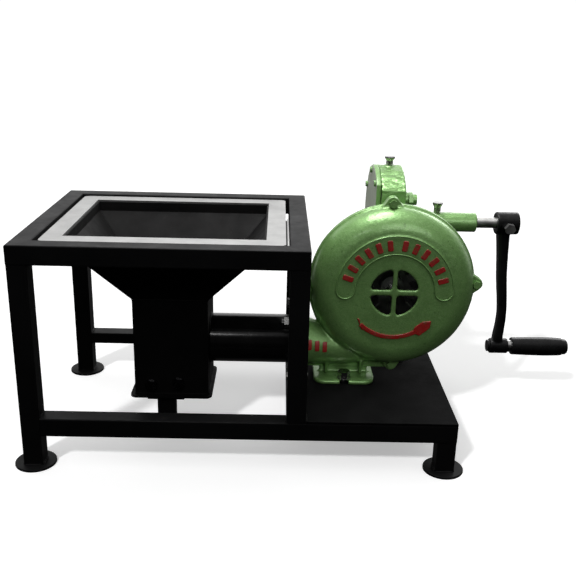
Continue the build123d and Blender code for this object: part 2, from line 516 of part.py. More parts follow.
def spur(x0, x1, yc, zc, m, n, phase, bore):
    """Spur gear with its axis along X; phase is the angle of one tooth, from +Y towards +Z."""
    rp = m * n / 2
    rr, rt = rp - 1.2 * m, rp + 0.87 * m
    pts = []
    for k in range(n):
        a = phase + 360.0 * k / n
        for rad, hw in ((rr, -0.78 * m), (rt, -0.33 * m), (rt, 0.33 * m), (rr, 0.78 * m)):
            pts.append(polar(rad, a + math.degrees(hw / rad)))
    f = make_face(Polyline(*pts, close=True))
    gear = plane_x(x0, yc, zc).location * extrude(f, x1 - x0)
    return gear - cyl("X", bore, x0 - 1, x1 + 1, yc, zc)


A_X0, A_X1 = 478.0, 486.0
ga = spur(A_X0, A_X1, CY, CZ, M1, NA, BETA + 180.0 / NA, SHAFT_R)
ga -= cyl("X", RA - 7, A_X0 - 1, A_X0 + 2, CY, CZ) - cyl("X", 16, A_X0 - 2, A_X0 + 3, CY, CZ)
ga += bush("X", 15.0, SHAFT_R, A_X1 - 1, 504.0, CY, CZ)
for k in range(5):
    a = math.radians(72 * k)
    ga -= cyl("X", 8.5, A_X0 - 1, A_X1 + 1, CY + 28 * math.cos(a), CZ + 28 * math.sin(a))
put("crank_gear", ga)
gb_ = spur(A_X0, A_X1, KY, KZ, M1, NB, BETA + 180.0, 5.0)
put("countershaft_pinion", gb_)

C_X0, C_X1 = BX - 4.5, BX + 4.5
lam = math.degrees(math.atan(LEAD / (2 * math.pi * WORM_R)))
cosl = math.cos(math.radians(lam))
tooth2d = make_face(Polyline((-1.75 * cosl, -RC + 2.1), (-0.72 * cosl, -RC - 1.3), (0.72 * cosl, -RC - 1.3), (1.75 * cosl, -RC + 2.1), close=True))
tooth = Plane(origin=(-8, 0, 0), x_dir=(0, 1, 0), z_dir=(1, 0, 0)).location * extrude(tooth2d, 16)
tooth = Rot(0, 0, lam) * tooth
teeth = [Rot(360.0 * k / NC, 0, 0) * tooth for k in range(NC)]
blank = Rot(0, 90, 0) * Cylinder(RC - 1.8, 9.0)
wheel = blank.fuse(*teeth)
wheel = wheel & (Rot(0, 90, 0) * Cylinder(RC + 1.3, 9.0))
wheel = Pos(BX, KY, KZ) * wheel
wheel -= cyl("X", 5.0, C_X0 - 1, C_X1 + 1, KY, KZ)
wheel += bush("X", 9.0, 5.0, C_X1 - 0.5, GC_X1 - 6.6, KY, KZ)
put("worm_wheel", wheel)
put("countershaft", cyl("X", 5.0 , COVER_X - 4.0, GC_X1 + 5.0, KY, KZ))

worm_y0 = KY - LEAD / 8 - LEAD / 4
core = cyl("Y", WORM_R - 1.7, KY - 12.5, KY + 13.0, BX, BZ)
hel = Helix(pitch=LEAD, height=20.0, radius=WORM_R - 1.7)
prof_pl = Plane(origin=hel @ 0, x_dir=(1, 0, 0), z_dir=hel % 0)
prof = make_face(Polyline((-0.5, -1.35 * cosl), (2.9, -0.62 * cosl), (2.9, 0.62 * cosl), (-0.5, 1.35 * cosl), close=True))
th = sweep(prof_pl.location * prof, path=hel, is_frenet=True)
ths = [Pos(BX, worm_y0, BZ) * Rot(-90, 0, 0) * Rot(0, 0, 90 * k) * th for k in range(ND)]
fs = core + cyl("Y", FAN_SHAFT_R, 118.0, Y_FEND - 3.5, BX, BZ)
for t in ths:
    fs = fs + t
put("fan_shaft", fs)

# ---------------------------------------------------------------- impeller
F0, F1 = 124.0, 156.0
imp = cyl("Y", FAN_R, F1, F1 + 2.5, BX, BZ) + cyl("Y", 16.0, 136.0, 168.0, BX, BZ)
NBL = 8
for k in range(NBL):
    inner_p, outer_p = [], []
    for i in range(9):
        t = i / 8.0
        rad = 26 + t * (FAN_R - 26)
        ang = 360.0 * k / NBL + 34.0 * t * t
        inner_p.append(polar(rad, ang))
        outer_p.append(polar(rad, ang + math.degrees(2.2 / rad)))
    f = make_face(Polyline(*(inner_p + outer_p[::-1]), close=True))
    blade = plane_y(F1 + 0.5).location * extrude(f, F1 + 0.5 - F0)
    imp += blade
imp -= cyl("Y", FAN_SHAFT_R, 100, 175, BX, BZ)
put("impeller", imp)
put("impeller_nut", hexprism("Y", 17, 128.0, 136.0, BX, BZ) - cyl("Y", FAN_SHAFT_R, 120, 140, BX, BZ))

# ---------------------------------------------------------------- crank
put("crank_shaft", cyl("X", SHAFT_R, A_X0 - 1.0, HUB_X1 - 2.0, CY, CZ))
ax = [(671.0, CZ - 8), (672.5, CZ - 32), (675.7, CZ - 74), (679.3, CZ - 107), (682.8, CZ - 140), (682.4, CZ - 166), (681.5, HZ + 6)]
arm = None
secs = []
for i, (x, z) in enumerate(ax):
    wy = 25.0 - 7.0 * i / 6
    wx = (17.5, 16.6, 14.6, 14.2, 13.6, 14.4, 15.6)[i]
    secs.append(Pos(x, CY, z) * RectangleRounded(wx, wy, 5.5))
arm = loft(secs)
hub = cyl("X", HUB_R, HUB_X0, HUB_X1, CY, CZ)
hub = chamfer(hub.edges().filter_by(GeomType.CIRCLE), 1.2)
boss = cyl("X", BOSS_R, BOSS_X0, BOSS_X1, CY, HZ)
boss = chamfer(boss.edges().filter_by(GeomType.CIRCLE), 1.0)
arm = arm + hub + boss
arm -= cyl("X", SHAFT_R, HUB_X0 - 1, HUB_X1 + 1, CY, CZ)
arm -= cyl("X", SPIN_R, BOSS_X0 - 1, BOSS_X1 + 1, CY, HZ)
SB_X, SB_Z = 675.5, CZ - 4.0
arm -= cyl("Y", 4.0, CY - 30, CY, SB_X, SB_Z)
arm -= cyl("Y", 9.0, CY - 30, CY - HUB_R + 0.8, SB_X, SB_Z)
put("crank_arm", arm)
sb = cyl("Y", 4.0, CY - HUB_R - 4, CY - 5, SB_X, SB_Z) - cyl("X", SHAFT_R, HUB_X0, HUB_X1, CY, CZ)
put("crank_set_bolt", hexprism("Y", 14, CY - HUB_R - 7.0, CY - HUB_R + 0.8, SB_X, SB_Z, 8) + sb)

# handle: spindle through the boss, lock nut, turning grip and end washer
sp = cyl("X", SPIN_R, BOSS_X0, X_END - 5.0, CY, HZ) + cyl("X", 8.4, X_END - 6.0, X_END - 3.5, CY, HZ) + cyl("X", 9.0, BOSS_X0 - 3.5, BOSS_X0, CY, HZ)
put("handle_spindle", sp)
put("handle_nut", cyl("X", 9.6, BOSS_X1, GRIP_X0 - 0.4, CY, HZ) - cyl("X", SPIN_R, BOSS_X1 - 1, GRIP_X0, CY, HZ))


def grip_profile():
    x0, x1 = GRIP_X0, X_END
    Line((x0, SPIN_R + 0.08), (x0, 12.6))
    Line((x0, 12.6), (x0 + 1.4, 13.6))
    Spline((x0 + 1.4, 13.6), (x0 + 30, GRIP_R), (x1 - 22, GRIP_R), (x1 - 9, 13.7))
    Line((x1 - 9, 13.7), (x1 - 8, 12.6))
    Line((x1 - 8, 12.6), (x1 - 2.5, 12.0))
    Line((x1 - 2.5, 12.0), (x1, 10.2))
    Line((x1, 10.2), (x1, 9.0))
    Line((x1, 9.0), (x1 - 6.5, 9.0))
    Line((x1 - 6.5, 9.0), (x1 - 6.5, SPIN_R + 0.08))
    Line((x1 - 6.5, SPIN_R + 0.08), (x0, SPIN_R + 0.08))


with BuildPart() as gp:
    with BuildSketch(Plane.XY):
        with BuildLine():
            grip_profile()
        make_face()
    revolve(axis=Axis.X)
put("grip", Pos(0, CY, HZ) * gp.part)

# ---------------------------------------------------------------- write the parts
os.makedirs("parts", exist_ok=True)
shift = Pos(-OX, -OY, 0)
for name, shape in NODES.items():
    sol = shape.solids()
    out = sol[0] if len(sol) == 1 else Compound(children=list(sol))
    export_step(shift * out, f"parts/{name}.step")
print(len(NODES), "parts; shift", OX, OY, "counter axis", KY, KZ, "beta", BETA)
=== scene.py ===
import bpy, bmesh, math, json
from mathutils import Vector, Matrix, noise

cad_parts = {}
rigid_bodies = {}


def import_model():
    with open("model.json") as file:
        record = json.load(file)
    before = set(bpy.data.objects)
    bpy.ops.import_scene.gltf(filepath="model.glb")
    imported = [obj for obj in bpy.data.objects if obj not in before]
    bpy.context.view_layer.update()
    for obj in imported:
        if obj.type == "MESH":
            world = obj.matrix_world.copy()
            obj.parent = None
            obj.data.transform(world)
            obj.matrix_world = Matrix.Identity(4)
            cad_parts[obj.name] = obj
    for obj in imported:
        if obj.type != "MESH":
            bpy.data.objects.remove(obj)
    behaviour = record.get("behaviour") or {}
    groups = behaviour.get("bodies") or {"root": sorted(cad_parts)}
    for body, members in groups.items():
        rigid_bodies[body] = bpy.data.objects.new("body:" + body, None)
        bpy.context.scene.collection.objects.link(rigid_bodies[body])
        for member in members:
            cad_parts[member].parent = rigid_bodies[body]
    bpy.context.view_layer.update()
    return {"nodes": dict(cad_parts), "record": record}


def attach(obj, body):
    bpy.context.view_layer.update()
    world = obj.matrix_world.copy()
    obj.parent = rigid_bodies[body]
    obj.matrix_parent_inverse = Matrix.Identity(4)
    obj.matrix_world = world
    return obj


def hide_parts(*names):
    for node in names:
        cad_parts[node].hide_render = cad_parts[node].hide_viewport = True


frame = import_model()
N = frame["nodes"]
scene = bpy.context.scene
OX, OY = 0.389, 0.161          # plan offset between the drawing's corner and the row frame's origin


def W(x, y, z):
    """Drawing millimetres to row frame metres."""
    return Vector((x / 1000 - OX, y / 1000 - OY, z / 1000))


# ---------------------------------------------------------------- node helpers
class Mat:
    def __init__(self, name, **consts):
        self.m = bpy.data.materials.new(name)
        self.m.use_nodes = True
        self.nt = self.m.node_tree
        self.b = self.nt.nodes["Principled BSDF"]
        for k, v in consts.items():
            self.b.inputs[k.replace("_", " ")].default_value = v
        self.tc = self.nt.nodes.new("ShaderNodeTexCoord")
        self.obj = self.tc.outputs["Object"]

    def new(self, t, **props):
        n = self.nt.nodes.new(t)
        for k, v in props.items():
            setattr(n, k, v)
        return n

    def link(self, a, b):
        self.nt.links.new(a, b)

    def mapped(self, scale=(1, 1, 1), rot=(0, 0, 0)):
        n = self.new("ShaderNodeMapping")
        n.inputs["Scale"].default_value = scale
        n.inputs["Rotation"].default_value = rot
        self.link(self.obj, n.inputs["Vector"])
        return n.outputs["Vector"]

    def noise(self, scale, detail=2.0, rough=0.5, vec=None, dist=0.0):
        n = self.new("ShaderNodeTexNoise")
        n.inputs["Scale"].default_value = scale
        n.inputs["Detail"].default_value = detail
        n.inputs["Roughness"].default_value = rough
        n.inputs["Distortion"].default_value = dist
        self.link(vec or self.obj, n.inputs["Vector"])
        return n.outputs["Fac"]

    def voronoi(self, scale, vec=None, feature="F1", out="Distance"):
        n = self.new("ShaderNodeTexVoronoi", feature=feature)
        n.inputs["Scale"].default_value = scale
        self.link(vec or self.obj, n.inputs["Vector"])
        return n.outputs[out]

    def ramp(self, fac, stops, interp="LINEAR"):
        n = self.new("ShaderNodeValToRGB")
        n.color_ramp.interpolation = interp
        els = n.color_ramp.elements
        while len(els) < len(stops):
            els.new(0.5)
        for e, (p, c) in zip(els, stops):
            e.position = p
            e.color = (c, c, c, 1) if isinstance(c, (int, float)) else (*c, 1)
        self.link(fac, n.inputs["Fac"])
        return n.outputs["Color"]

    def range(self, fac, a, b, c, d):
        n = self.new("ShaderNodeMapRange")
        for s, v in zip(("From Min", "From Max", "To Min", "To Max"), (a, b, c, d)):
            n.inputs[s].default_value = v
        self.link(fac, n.inputs["Value"])
        return n.outputs["Result"]

    def math(self, op, a, b=None):
        n = self.new("ShaderNodeMath", operation=op)
        for i, v in enumerate((a, b)):
            if v is None:
                continue
            if isinstance(v, (int, float)):
                n.inputs[i].default_value = v
            else:
                self.link(v, n.inputs[i])
        return n.outputs["Value"]

    def mix(self, fac, a, b, mode="MIX"):
        n = self.new("ShaderNodeMix", data_type="RGBA", blend_type=mode)
        for s, v in ((n.inputs["Factor"], fac), (n.inputs[6], a), (n.inputs[7], b)):
            if isinstance(v, (int, float)):
                s.default_value = v
            elif isinstance(v, tuple):
                s.default_value = (*v, 1)
            else:
                self.link(v, s)
        return n.outputs[2]

    def bump(self, height, dist, strength=1.0, prev=None):
        n = self.new("ShaderNodeBump")
        n.inputs["Strength"].default_value = strength
        n.inputs["Distance"].default_value = dist
        self.link(height, n.inputs["Height"])
        if prev is not None:
            self.link(prev, n.inputs["Normal"])
        return n.outputs["Normal"]

    def edge(self, lo=0.505, hi=0.56):
        """1 on convex edges, 0 elsewhere."""
        g = self.new("ShaderNodeNewGeometry")
        return self.range(g.outputs["Pointiness"], lo, hi, 0.0, 1.0)

    def up(self):
        """World normal's z."""
        g = self.new("ShaderNodeNewGeometry")
        s = self.new("ShaderNodeSeparateXYZ")
        self.link(g.outputs["Normal"], s.inputs[0])
        return s.outputs["Z"]

    def set(self, **sockets):
        for k, v in sockets.items():
            self.link(v, self.b.inputs[k.replace("_", " ")])
        return self.m


def mat_frame_black():
    m = Mat("frame_black", Specular_IOR_Level=0.10)
    peel = m.noise(420, 2)
    big = m.noise(9, 4, 0.6)
    dust = m.noise(70, 6, 0.7)
    col = m.ramp(big, [(0.3, (0.0050, 0.0050, 0.0053)), (0.7, (0.0095, 0.0095, 0.0098))])
    up = m.range(m.up(), 0.75, 1.0, 0.0, 1.0)
    speck = m.range(dust, 0.56, 0.80, 0.0, 0.45)
    col = m.mix(m.math("MULTIPLY", up, speck), col, (0.042, 0.041, 0.039))
    scratch = m.noise(34, 8, 0.75, m.mapped((1, 1, 14)))
    col = m.mix(m.range(scratch, 0.70, 0.80, 0.0, 0.35), col, (0.035, 0.034, 0.033))
    rough = m.range(m.noise(28, 5, 0.65), 0.3, 0.7, 0.40, 0.56)
    n = m.bump(peel, 0.00016, 0.35)
    n = m.bump(m.noise(55, 4, 0.6), 0.0005, 0.10, n)
    return m.set(Base_Color=col, Roughness=rough, Normal=n)


def mat_pot_black():
    m = Mat("pot_black", Specular_IOR_Level=0.12)
    big = m.noise(14, 5, 0.65)
    col = m.ramp(big, [(0.3, (0.0040, 0.0040, 0.0041)), (0.72, (0.0085, 0.0082, 0.0080))])
    col = m.mix(m.range(m.noise(120, 5, 0.7), 0.62, 0.78, 0.0, 0.4), col, (0.030, 0.026, 0.023))
    rough = m.range(m.noise(40, 4, 0.6), 0.3, 0.7, 0.55, 0.72)
    n = m.bump(m.noise(350, 3, 0.6), 0.0002, 0.4)
    n = m.bump(m.noise(18, 2, 0.5), 0.002, 0.10, n)
    return m.set(Base_Color=col, Roughness=rough, Normal=n)


def mat_rim_steel():
    m = Mat("rim_steel", Metallic=1.0)
    brush = m.noise(60, 5, 0.7, m.mapped((1, 26, 26)))
    blot = m.noise(22, 5, 0.6)
    col = m.ramp(blot, [(0.25, (0.40, 0.40, 0.395)), (0.75, (0.60, 0.60, 0.59))])
    col = m.mix(m.range(brush, 0.35, 0.7, 0.0, 0.22), col, (0.30, 0.30, 0.30))
    col = m.mix(m.range(m.noise(48, 7, 0.72), 0.60, 0.74, 0.0, 0.35), col, (0.25, 0.22, 0.19))
    rough = m.range(brush, 0.3, 0.7, 0.34, 0.50)
    n = m.bump(brush, 0.0002, 0.25)
    n = m.bump(m.noise(12, 2), 0.003, 0.08, n)
    return m.set(Base_Color=col, Roughness=rough, Normal=n)


def mat_iron():
    m = Mat("grate_iron", Metallic=0.0, Specular_IOR_Level=0.35)
    rust = m.range(m.noise(45, 6, 0.7), 0.48, 0.66, 0.0, 0.75)
    col = m.mix(rust, (0.030, 0.029, 0.028), (0.085, 0.040, 0.021))
    rough = m.range(m.noise(90, 4), 0.3, 0.7, 0.62, 0.86)
    n = m.bump(m.noise(260, 5, 0.7), 0.0006, 0.6)
    return m.set(Base_Color=col, Roughness=rough, Normal=n)


def mat_green(name="blower_green", tint=(1.0, 1.0, 1.0)):
    """Pearl enamel sprayed over a rough casting."""
    m = Mat(name, Coat_Weight=0.35, Coat_Roughness=0.16, Specular_IOR_Level=0.5, Metallic=0.42)
    cells = m.voronoi(1500, out="Color")
    sep = m.new("ShaderNodeSeparateColor")
    m.link(cells, sep.inputs[0])
    flake = sep.outputs[0]
    big = m.noise(16, 4, 0.6)
    a = tuple(c * t for c, t in zip((0.125, 0.260, 0.074), tint))
    b = tuple(c * t for c, t in zip((0.165, 0.330, 0.100), tint))
    col = m.mix(m.range(big, 0.3, 0.7, 0.0, 1.0), a, b)
    col = m.mix(m.range(flake, 0.0, 1.0, -0.30, 0.26), col, tuple(c * t for c, t in zip((0.42, 0.58, 0.28), tint)))
    pits = m.range(m.noise(210, 4, 0.62), 0.60, 0.74, 0.0, 0.6)
    col = m.mix(pits, col, tuple(c * t for c, t in zip((0.050, 0.105, 0.034), tint)))
    rough = m.range(m.noise(150, 3), 0.3, 0.7, 0.30, 0.46)
    cast = m.noise(230, 3, 0.6)
    n = m.bump(cast, 0.0007, 0.42)
    n = m.bump(m.noise(60, 3, 0.5), 0.0022, 0.22, n)
    n = m.bump(flake, 0.00008, 0.25, n)
    return m.set(Base_Color=col, Roughness=rough, Normal=n)


def mat_cover():
    """The gear cover: the same enamel, with a smooth greyish flat outer face whose grey is its own paint, made
    lighter as painted light on the left-facing side.
    """
    m = Mat("cover_grey_face", Metallic=0.2, Coat_Weight=0.3, Coat_Roughness=0.25)
    g = m.new("ShaderNodeNewGeometry")
    sx = m.new("ShaderNodeSeparateXYZ")
    m.link(g.outputs["Normal"], sx.inputs[0])
    # faces turned to -X get the grey: the cover's own grey paint, its lightness raised as painted light on that
    # side
    face = m.range(sx.outputs["X"], -0.93, -0.80, 1.0, 0.0)
    green = m.mix(m.range(m.noise(40, 4), 0.3, 0.7, 0.0, 1.0), (0.125, 0.260, 0.074), (0.185, 0.350, 0.115))
    grey = m.mix(m.range(m.noise(26, 5, 0.6), 0.3, 0.7, 0.0, 1.0), (0.47, 0.53, 0.42), (0.56, 0.61, 0.50))
    col = m.mix(face, green, grey)
    rough = m.range(m.noise(120, 4), 0.3, 0.7, 0.36, 0.52)
    n = m.bump(m.noise(230, 3, 0.6), 0.0006, 0.35)
    return m.set(Base_Color=col, Roughness=rough, Normal=n)


def mat_red():
    m = Mat("mark_red", Coat_Weight=0.3, Coat_Roughness=0.2)
    wear = m.range(m.noise(140, 5, 0.7), 0.52, 0.68, 0.0, 0.8)
    col = m.mix(wear, (0.26, 0.010, 0.008), (0.080, 0.060, 0.022))
    rough = m.range(m.noise(120, 4), 0.3, 0.7, 0.32, 0.52)
    n = m.bump(m.noise(230, 3, 0.6), 0.0006, 0.5)
    return m.set(Base_Color=col, Roughness=rough, Normal=n)


def mat_steel(name, base, r0, r1, scale=90, dirt=0.3, rust=(0.16, 0.10, 0.06)):
    m = Mat(name, Metallic=1.0)
    col = m.ramp(m.noise(scale, 5, 0.65), [(0.28, tuple(c * 0.72 for c in base)), (0.72, base)])
    col = m.mix(m.range(m.noise(scale * 2.3, 6, 0.75), 0.56, 0.74, 0.0, dirt), col, rust)
    rough = m.range(m.noise(scale * 1.4, 4, 0.6), 0.3, 0.7, r0, r1)
    n = m.bump(m.noise(700, 3, 0.6), 0.00012, 0.35)
    return m.set(Base_Color=col, Roughness=rough, Normal=n)


def mat_gloss_black(name, r0, r1, spec=0.5, bump=0.35, bscale=260, dark=1.0):
    m = Mat(name, Specular_IOR_Level=spec)
    # dark below 1 scales the colour down; the base plate uses it as painted shade
    col = m.ramp(m.noise(30, 5, 0.6), [(0.3, tuple(c * dark for c in (0.0055, 0.0055, 0.0058))), (0.7, tuple(c * dark for c in (0.0120, 0.0120, 0.0122)))])
    col = m.mix(m.range(m.noise(180, 6, 0.7), 0.64, 0.78, 0.0, 0.5 * dark), col, (0.040, 0.038, 0.036))
    rough = m.range(m.noise(60, 4, 0.6), 0.3, 0.7, r0, r1)
    n = m.bump(m.noise(bscale, 3, 0.55), 0.0006, bump)
    return m.set(Base_Color=col, Roughness=rough, Normal=n)


MATS = {
    "frame_black": mat_frame_black(),
    "pot_black": mat_pot_black(),
    "rim_steel": mat_rim_steel(),
    "grate_iron": mat_iron(),
    "blower_green": mat_green(),
    "cover_grey": mat_cover(),
    "mark_red": mat_red(),
    "impeller_alloy": mat_steel("impeller_alloy", (0.46, 0.47, 0.46), 0.36, 0.55, 70, 0.2),
    "steel": mat_steel("steel", (0.62, 0.62, 0.61), 0.16, 0.34, 60, 0.18),
    "bronze": mat_steel("bronze", (0.62, 0.40, 0.17), 0.28, 0.44, 110, 0.2, (0.20, 0.12, 0.05)),
    "gear_steel": mat_steel("gear_steel", (0.36, 0.36, 0.37), 0.24, 0.40),
    "crank_black": mat_gloss_black("crank_black", 0.24, 0.40, 0.22),
    "grip_black": mat_gloss_black("grip_black", 0.22, 0.32, 0.22, 0.10, 120),
}
PIPE_PAINT = mat_gloss_black("pipe_black", 0.13, 0.19, 0.42, 0.06)
# painted shade: the base plate's colour is halved (dark=0.5) to stand in for the shade on the plate under the
# blower
PLATE_SHADE_PAINT = mat_gloss_black("plate_black_painted_shade", 0.60, 0.75, 0.025, 0.30, 420, 0.5)
BRIGHT = mat_steel("bright_steel", (0.66, 0.66, 0.65), 0.34, 0.48, 60, 0.15)
SHAFT_STEEL = mat_steel("shaft_steel", (0.66, 0.66, 0.64), 0.36, 0.50, 60, 0.10)
BOLT_PAINT = mat_steel("bolt_black", (0.15, 0.15, 0.155), 0.16, 0.30, 120, 0.15)
SLOT = {s["node"]: s.get("material_slot", s["node"]) for s in frame["record"]["subparts"]}
for name, ob in N.items():
    ob.data.materials.clear()
    ob.data.materials.append(MATS[SLOT[name]])
    ob.data.polygons.foreach_set("use_smooth", [True] * len(ob.data.polygons))
    ob.data.set_sharp_from_angle(angle=math.radians(32))


for name, paint in (("air_pipe", PIPE_PAINT), ("base_plate", PLATE_SHADE_PAINT), ("pot_bolts", BOLT_PAINT),
                    ("crank_set_bolt", BRIGHT), ("crank_shaft", SHAFT_STEEL)):
    N[name].data.materials.clear()
    N[name].data.materials.append(paint)

# ---------------------------------------------------------------- castings and forgings
BODY = {n: b for b, ns in frame["record"]["behaviour"]["bodies"].items() for n in ns}


def evaluated(ob):
    """A new mesh with ob's modifiers applied."""
    dg = bpy.context.evaluated_depsgraph_get()
    dg.update()
    me = bpy.data.meshes.new_from_object(ob.evaluated_get(dg))
    return me


def cast(node, voxel, iters, amp=0.0, wave=0.02, lump=0.0, stretch=1.0, grow=0.0, share=None):
    """Replaces a CAD node by the same shape with the soft edges and uneven skin of a casting."""
    src = N[node]
    ob = bpy.data.objects.new(node + "_cast", src.data.copy())
    scene.collection.objects.link(ob)
    rm = ob.modifiers.new("skin", "REMESH")
    rm.mode = "VOXEL"
    rm.voxel_size = voxel
    sm = ob.modifiers.new("soft", "SMOOTH")
    sm.factor = 0.5
    sm.iterations = iters
    me = evaluated(ob)
    ob.modifiers.clear()
    ob.data = me
    me.name = node + "_cast"
    if amp or lump:
        nrm = [v.normal.copy() for v in me.vertices]
        for v, n in zip(me.vertices, nrm):
            c = v.co
            q = Vector((c.x * stretch, c.y, c.z))
            d = grow - amp * (0.5 + 0.5 * noise.noise(q / wave)) - lump * (0.5 + 0.5 * noise.fractal(q / (wave * 0.32), 1.0, 2.0, 3))
            v.co = c + n * (d * (share(c) if share else 1.0))
    me.materials.clear()
    me.materials.append(MATS[SLOT[node]])
    me.polygons.foreach_set("use_smooth", [True] * len(me.polygons))
    me.update()
    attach(ob, BODY[node])
    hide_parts(node)
    return ob


Q = 1.0
cast("front_cover", 0.00135 * Q, 4, 0.0002, 0.03, 0.00018)
cast("rear_casing", 0.0017 * Q, 4, 0.0003, 0.03, 0.0002)
case_end = W(511, 0, 0).x
cast("gear_case", 0.0013 * Q, 3, 0.0005, 0.022, 0.0020, 0.35, 0.0009, lambda c: max(0.18, min(1.0, (case_end - c.x) / 0.006)))
cast("gear_case_cover", 0.0012 * Q, 2, 0.0, 0.02, 0.0002, 1.0, 0.0002)
cast("crank_arm", 0.0009 * Q, 6, 0.0002, 0.02, 0.0002)
cast("raised_marks", 0.0005 * Q, 2, 0.0, 0.02, 0.00015, 1.0, 0.00015)


# ---------------------------------------------------------------- swept beads and welds
def sweep_path(bm, pts, rad, closed=False, sides=8):
    """A round bead along pts; rad(i) is the radius at point i."""
    n = len(pts)
    rings = []
    for i, p in enumerate(pts):
        a = pts[i - 1] if (i or closed) else pts[i]
        b = pts[(i + 1) % n] if (i < n - 1 or closed) else pts[i]
        t = (b - a).normalized()
        up0 = Vector((0.31, 0.23, 0.92))
        u = t.cross(up0).normalized()
        v = t.cross(u).normalized()
        r = rad(i)
        rings.append([bm.verts.new(p + (u * math.cos(2 * math.pi * k / sides) + v * math.sin(2 * math.pi * k / sides)) * r) for k in range(sides)])
    for i in range(n if closed else n - 1):
        A, B = rings[i], rings[(i + 1) % n]
        for k in range(sides):
            bm.faces.new((A[k], A[(k + 1) % sides], B[(k + 1) % sides], B[k]))
    if not closed:
        bm.faces.new(rings[0][::-1])
        bm.faces.new(rings[-1])


def piece(name, bm, slot_name, body, mat=None):
    bmesh.ops.recalc_face_normals(bm, faces=bm.faces)
    me = bpy.data.meshes.new(name)
    bm.to_mesh(me)
    bm.free()
    me.polygons.foreach_set("use_smooth", [True] * len(me.polygons))
    me.materials.append(mat or MATS[slot_name])
    ob = bpy.data.objects.new(name, me)
    scene.collection.objects.link(ob)
    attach(ob, body)
    return ob


def weld_pts(a, b, seed):
    a, b = W(*a), W(*b)
    n = max(6, int((b - a).length / 0.0009))
    out = []
    for i in range(n + 1):
        w = noise.noise(Vector((i * 0.11, seed * 7.3, 0.0))) * 0.0006
        out.append(a.lerp(b, i / n) + Vector((w * 0.5, w * 0.5, w)))
    return out


def weld(bm, a, b, r=0.0017, seed=0.0):
    """Fillet bead with the ripple of a hand weld."""
    pts = weld_pts(a, b, seed)
    sweep_path(bm, pts, lambda i: r * (0.86 + 0.22 * abs(math.sin(i * 0.62 + seed)) + 0.16 * noise.noise(Vector((i * 0.2, seed, 3.1)))) * min(1.0, 0.45 + 0.2 * min(i, len(pts) - 1 - i)))


def weld_ring(bm, x, y, z, rad, r=0.0016):
    """Bead round a pipe that runs along X."""
    n = int(2 * math.pi * rad / 0.9)
    pts = [W(x, y + rad * math.cos(2 * math.pi * i / n), z + rad * math.sin(2 * math.pi * i / n)) for i in range(n)]
    sweep_path(bm, pts, lambda i: r * (0.86 + 0.22 * abs(math.sin(i * 0.62)) + 0.16 * noise.noise(Vector((i * 0.2, 1.0, 3.1)))), True)


def bar(bm, x0, x1, y0, y1, z0, z1, r=0.3):
    """A bar with small bevelled edges."""
    b = bmesh.new()
    bmesh.ops.create_cube(b, size=1.0)
    for v in b.verts:
        v.co = W(x0 if v.co.x < 0 else x1, y0 if v.co.y < 0 else y1, z0 if v.co.z < 0 else z1)
    bmesh.ops.bevel(b, geom=b.edges[:], offset=r * 0.001, segments=2, affect="EDGES", profile=0.5)
    me = bpy.data.meshes.new("bar")
    b.to_mesh(me)
    b.free()
    bm.from_mesh(me)
    bpy.data.meshes.remove(me)


slo = [min(v.co[i] for v in N["side_strip"].data.vertices) for i in range(3)]
shi = [max(v.co[i] for v in N["side_strip"].data.vertices) for i in range(3)]
org = W(0, 0, 0)
sx0, sy0, sz0 = [(slo[i] - org[i]) * 1000 for i in range(3)]
sx1, sy1, sz1 = [(shi[i] - org[i]) * 1000 for i in range(3)]
bm = bmesh.new()
bar(bm, sx0, sx1, sy0, sy1, sz0, sz0 + 1.6)
ob = piece("side_strip_bearer", bm, "frame_black", "stand")
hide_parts("side_strip")
bm = bmesh.new()
bar(bm, sx0 + 2.0, sx1 - 1.2, sy0, sy1, sz0 + 1.5, sz1)
ob = piece("side_strip_edge", bm, "rim_steel", "stand")
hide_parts("side_strip")

T, WW, DD, HH, XB, ZR = 25.4, 372.0, 322.0, 305.0, 572.0, 71.0
bm = bmesh.new()
k = 0
for x0, x1, sx in ((0, T, 1), (WW - T, WW, -1)):
    for y0, y1, sy in ((0, T, 1), (DD - T, DD, -1)):
        xi, yi = (x1 if sx > 0 else x0), (y1 if sy > 0 else y0)
        weld(bm, (xi, y0 + 2, HH - T), (xi, y1 - 2, HH - T), seed=k + 0.3)
        weld(bm, (x0 + 2, yi, HH - T), (x1 - 2, yi, HH - T), seed=k + 0.8)
        k += 1
for y0, y1, zt, zb in ((0, T, ZR, ZR - T), (DD - T, DD, ZR, ZR - 18)):
    weld(bm, (T, y0 + 2, zt), (T, y1 - 2, zt), seed=k + 0.1)
    weld(bm, (T, y0 + 2, zb), (T, y1 - 2, zb), seed=k + 0.4)
    weld(bm, (WW - T, y0 + 2, ZR), (WW - T, y1 - 2, ZR), seed=k + 0.6)
    weld(bm, (WW + 0.4, y0 + 2, ZR + 3), (WW + 0.4, y1 - 2, ZR + 3), seed=k + 0.9)
    weld(bm, (XB - T, y0 + 2, ZR - T), (XB - T, y1 - 2, ZR - T), seed=k + 1.2)
    k += 2
for x0, y0 in ((0, 0), (0, DD - T), (XB - T, 0), (XB - T, DD - T)):
    for a, b in (((x0 + 1, y0), (x0 + T - 1, y0)), ((x0 + 1, y0 + T), (x0 + T - 1, y0 + T)), ((x0, y0 + 1), (x0, y0 + T - 1)), ((x0 + T, y0 + 1), (x0 + T, y0 + T - 1))):
        weld(bm, (a[0], a[1], 3.2), (b[0], b[1], 3.2), 0.0014, seed=k * 0.7)
        k += 1
for i in range(4):
    ya = 40 + i * 66
    weld(bm, (WW + 0.4, ya, ZR + 2.4), (WW + 0.4, ya + 26, ZR + 2.4), 0.0015, seed=k * 0.9)
    k += 1
weld(bm, (163, 101.5, 54), (189, 101.5, 54), 0.0013, seed=4.4)
weld(bm, (163, 102, 54), (163, 116, 54), 0.0013, seed=5.4)
piece("frame_welds", bm, "frame_black", "stand")

